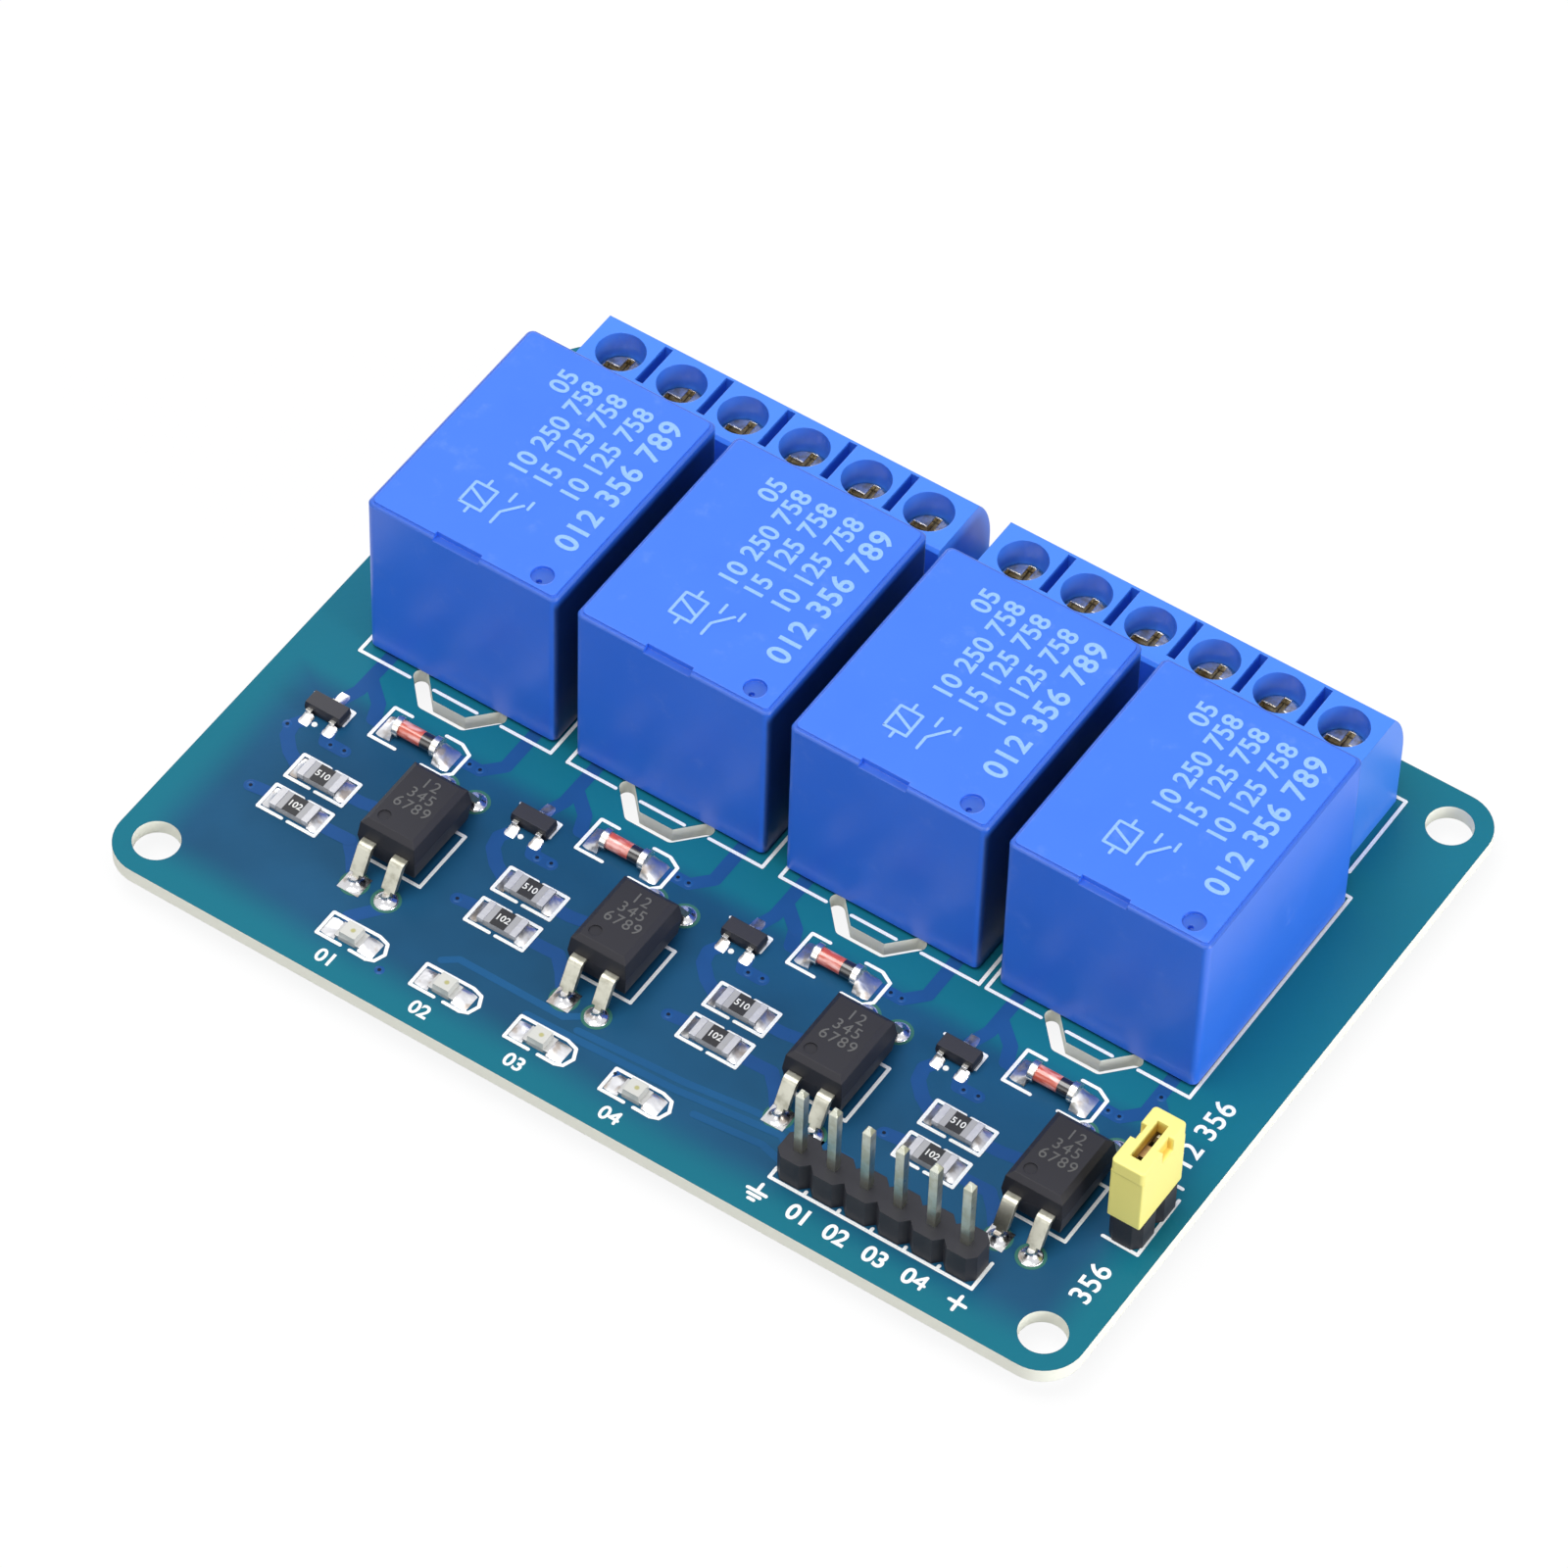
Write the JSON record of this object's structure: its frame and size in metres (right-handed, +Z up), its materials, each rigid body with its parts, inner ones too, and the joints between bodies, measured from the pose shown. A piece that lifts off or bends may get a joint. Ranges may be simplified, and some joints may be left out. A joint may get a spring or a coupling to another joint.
{
  "type": "relay module board",
  "caption": "Blue circuit board with a row of sealed relays, screw terminals behind them, optocouplers and a pin header in front.",
  "frame": {"origin": "Middle of the board in plan, at the height of the tips of the longest pins under it.", "axes": "+X along the board's long side, +Y from the pin header to the screw terminals, +Z up out of the component side."},
  "size_m": [0.0754, 0.056, 0.018],
  "materials": {
    "solder_mask": "satin",
    "relay_plastic": "gloss",
    "base_plastic": "matt",
    "winding_copper": "enamelled",
    "soft_iron": "plated",
    "tinned_lead": "bright",
    "terminal_plastic": "satin",
    "contact_brass": "bright",
    "screw_steel": "plated",
    "chip_black": "satin",
    "resistor_black": "satin",
    "red_glass": "clear",
    "clear_lens": "clear",
    "header_plastic": "satin",
    "pin_metal": "plated",
    "cap_plastic": "satin"
  },
  "bodies": {
    "board": {"circuit_board": "solder_mask", "diodes": "red_glass", "header_housing": "header_plastic", "header_pins": "pin_metal", "indicator_leds": "clear_lens", "jumper_header_housing": "header_plastic", "jumper_header_pins": "pin_metal", "optocoupler_1": "chip_black", "optocoupler_2": "chip_black", "optocoupler_3": "chip_black", "optocoupler_4": "chip_black", "optocoupler_leads": "tinned_lead", "relay_base_1": "base_plastic", "relay_base_2": "base_plastic", "relay_base_3": "base_plastic", "relay_base_4": "base_plastic", "relay_case_1": "relay_plastic", "relay_case_2": "relay_plastic", "relay_case_3": "relay_plastic", "relay_case_4": "relay_plastic", "relay_coil_1": "winding_copper", "relay_coil_2": "winding_copper", "relay_coil_3": "winding_copper", "relay_coil_4": "winding_copper", "relay_pins_1": "tinned_lead", "relay_pins_2": "tinned_lead", "relay_pins_3": "tinned_lead", "relay_pins_4": "tinned_lead", "relay_yoke_1": "soft_iron", "relay_yoke_2": "soft_iron", "relay_yoke_3": "soft_iron", "relay_yoke_4": "soft_iron", "resistors": "resistor_black", "terminal_clamps_1": "contact_brass", "terminal_clamps_2": "contact_brass", "terminal_clamps_3": "contact_brass", "terminal_clamps_4": "contact_brass", "terminal_housing_1": "terminal_plastic", "terminal_housing_2": "terminal_plastic", "terminal_housing_3": "terminal_plastic", "terminal_housing_4": "terminal_plastic", "transistors": "chip_black"},
    "armature_1": {"relay_armature_1": "soft_iron"},
    "armature_2": {"relay_armature_2": "soft_iron"},
    "armature_3": {"relay_armature_3": "soft_iron"},
    "armature_4": {"relay_armature_4": "soft_iron"},
    "screw_1": {"terminal_screw_1": "screw_steel"},
    "screw_2": {"terminal_screw_2": "screw_steel"},
    "screw_3": {"terminal_screw_3": "screw_steel"},
    "screw_4": {"terminal_screw_4": "screw_steel"},
    "screw_5": {"terminal_screw_5": "screw_steel"},
    "screw_6": {"terminal_screw_6": "screw_steel"},
    "screw_7": {"terminal_screw_7": "screw_steel"},
    "screw_8": {"terminal_screw_8": "screw_steel"},
    "screw_9": {"terminal_screw_9": "screw_steel"},
    "screw_10": {"terminal_screw_10": "screw_steel"},
    "screw_11": {"terminal_screw_11": "screw_steel"},
    "screw_12": {"terminal_screw_12": "screw_steel"},
    "jumper": {"jumper_cap": "cap_plastic", "jumper_contact": "contact_brass"}
  },
  "joints": [
    {"name": "armature_rock_1", "type": "hinge", "parent": "board", "child": "armature_1", "pos_m": [-0.0255, -0.0012, 0.0143], "axis": [-1, 0, 0], "range_deg": [0, 3], "stiffness_Nm_per_rad": 0.02, "springref_deg": -11.46},
    {"name": "armature_rock_2", "type": "hinge", "parent": "board", "child": "armature_2", "pos_m": [-0.0087, -0.0012, 0.0143], "axis": [-1, 0, 0], "range_deg": [0, 3], "stiffness_Nm_per_rad": 0.02, "springref_deg": -11.46},
    {"name": "armature_rock_3", "type": "hinge", "parent": "board", "child": "armature_3", "pos_m": [0.0081, -0.0012, 0.0143], "axis": [-1, 0, 0], "range_deg": [0, 3], "stiffness_Nm_per_rad": 0.02, "springref_deg": -11.46},
    {"name": "armature_rock_4", "type": "hinge", "parent": "board", "child": "armature_4", "pos_m": [0.0249, -0.0012, 0.0143], "axis": [-1, 0, 0], "range_deg": [0, 3], "stiffness_Nm_per_rad": 0.02, "springref_deg": -11.46},
    {"name": "screw_turn_1", "type": "hinge", "parent": "board", "child": "screw_1", "pos_m": [-0.02925, 0.02082, 0.0112], "axis": [0, 0, 1], "range_deg": [0, 1080]},
    {"name": "screw_turn_2", "type": "hinge", "parent": "board", "child": "screw_2", "pos_m": [-0.02425, 0.02082, 0.0112], "axis": [0, 0, 1], "range_deg": [0, 1080]},
    {"name": "screw_turn_3", "type": "hinge", "parent": "board", "child": "screw_3", "pos_m": [-0.01925, 0.02082, 0.0112], "axis": [0, 0, 1], "range_deg": [0, 1080]},
    {"name": "screw_turn_4", "type": "hinge", "parent": "board", "child": "screw_4", "pos_m": [-0.01425, 0.02082, 0.0112], "axis": [0, 0, 1], "range_deg": [0, 1080]},
    {"name": "screw_turn_5", "type": "hinge", "parent": "board", "child": "screw_5", "pos_m": [-0.00925, 0.02082, 0.0112], "axis": [0, 0, 1], "range_deg": [0, 1080]},
    {"name": "screw_turn_6", "type": "hinge", "parent": "board", "child": "screw_6", "pos_m": [-0.00425, 0.02082, 0.0112], "axis": [0, 0, 1], "range_deg": [0, 1080]},
    {"name": "screw_turn_7", "type": "hinge", "parent": "board", "child": "screw_7", "pos_m": [0.00325, 0.02082, 0.0112], "axis": [0, 0, 1], "range_deg": [0, 1080]},
    {"name": "screw_turn_8", "type": "hinge", "parent": "board", "child": "screw_8", "pos_m": [0.00825, 0.02082, 0.0112], "axis": [0, 0, 1], "range_deg": [0, 1080]},
    {"name": "screw_turn_9", "type": "hinge", "parent": "board", "child": "screw_9", "pos_m": [0.01325, 0.02082, 0.0112], "axis": [0, 0, 1], "range_deg": [0, 1080]},
    {"name": "screw_turn_10", "type": "hinge", "parent": "board", "child": "screw_10", "pos_m": [0.01825, 0.02082, 0.0112], "axis": [0, 0, 1], "range_deg": [0, 1080]},
    {"name": "screw_turn_11", "type": "hinge", "parent": "board", "child": "screw_11", "pos_m": [0.02325, 0.02082, 0.0112], "axis": [0, 0, 1], "range_deg": [0, 1080]},
    {"name": "screw_turn_12", "type": "hinge", "parent": "board", "child": "screw_12", "pos_m": [0.02825, 0.02082, 0.0112], "axis": [0, 0, 1], "range_deg": [0, 1080]},
    {"name": "jumper_lift", "type": "slide", "parent": "board", "child": "jumper", "axis": [0, 0, 1], "range_m": [0, 0.0066]}
  ]
}
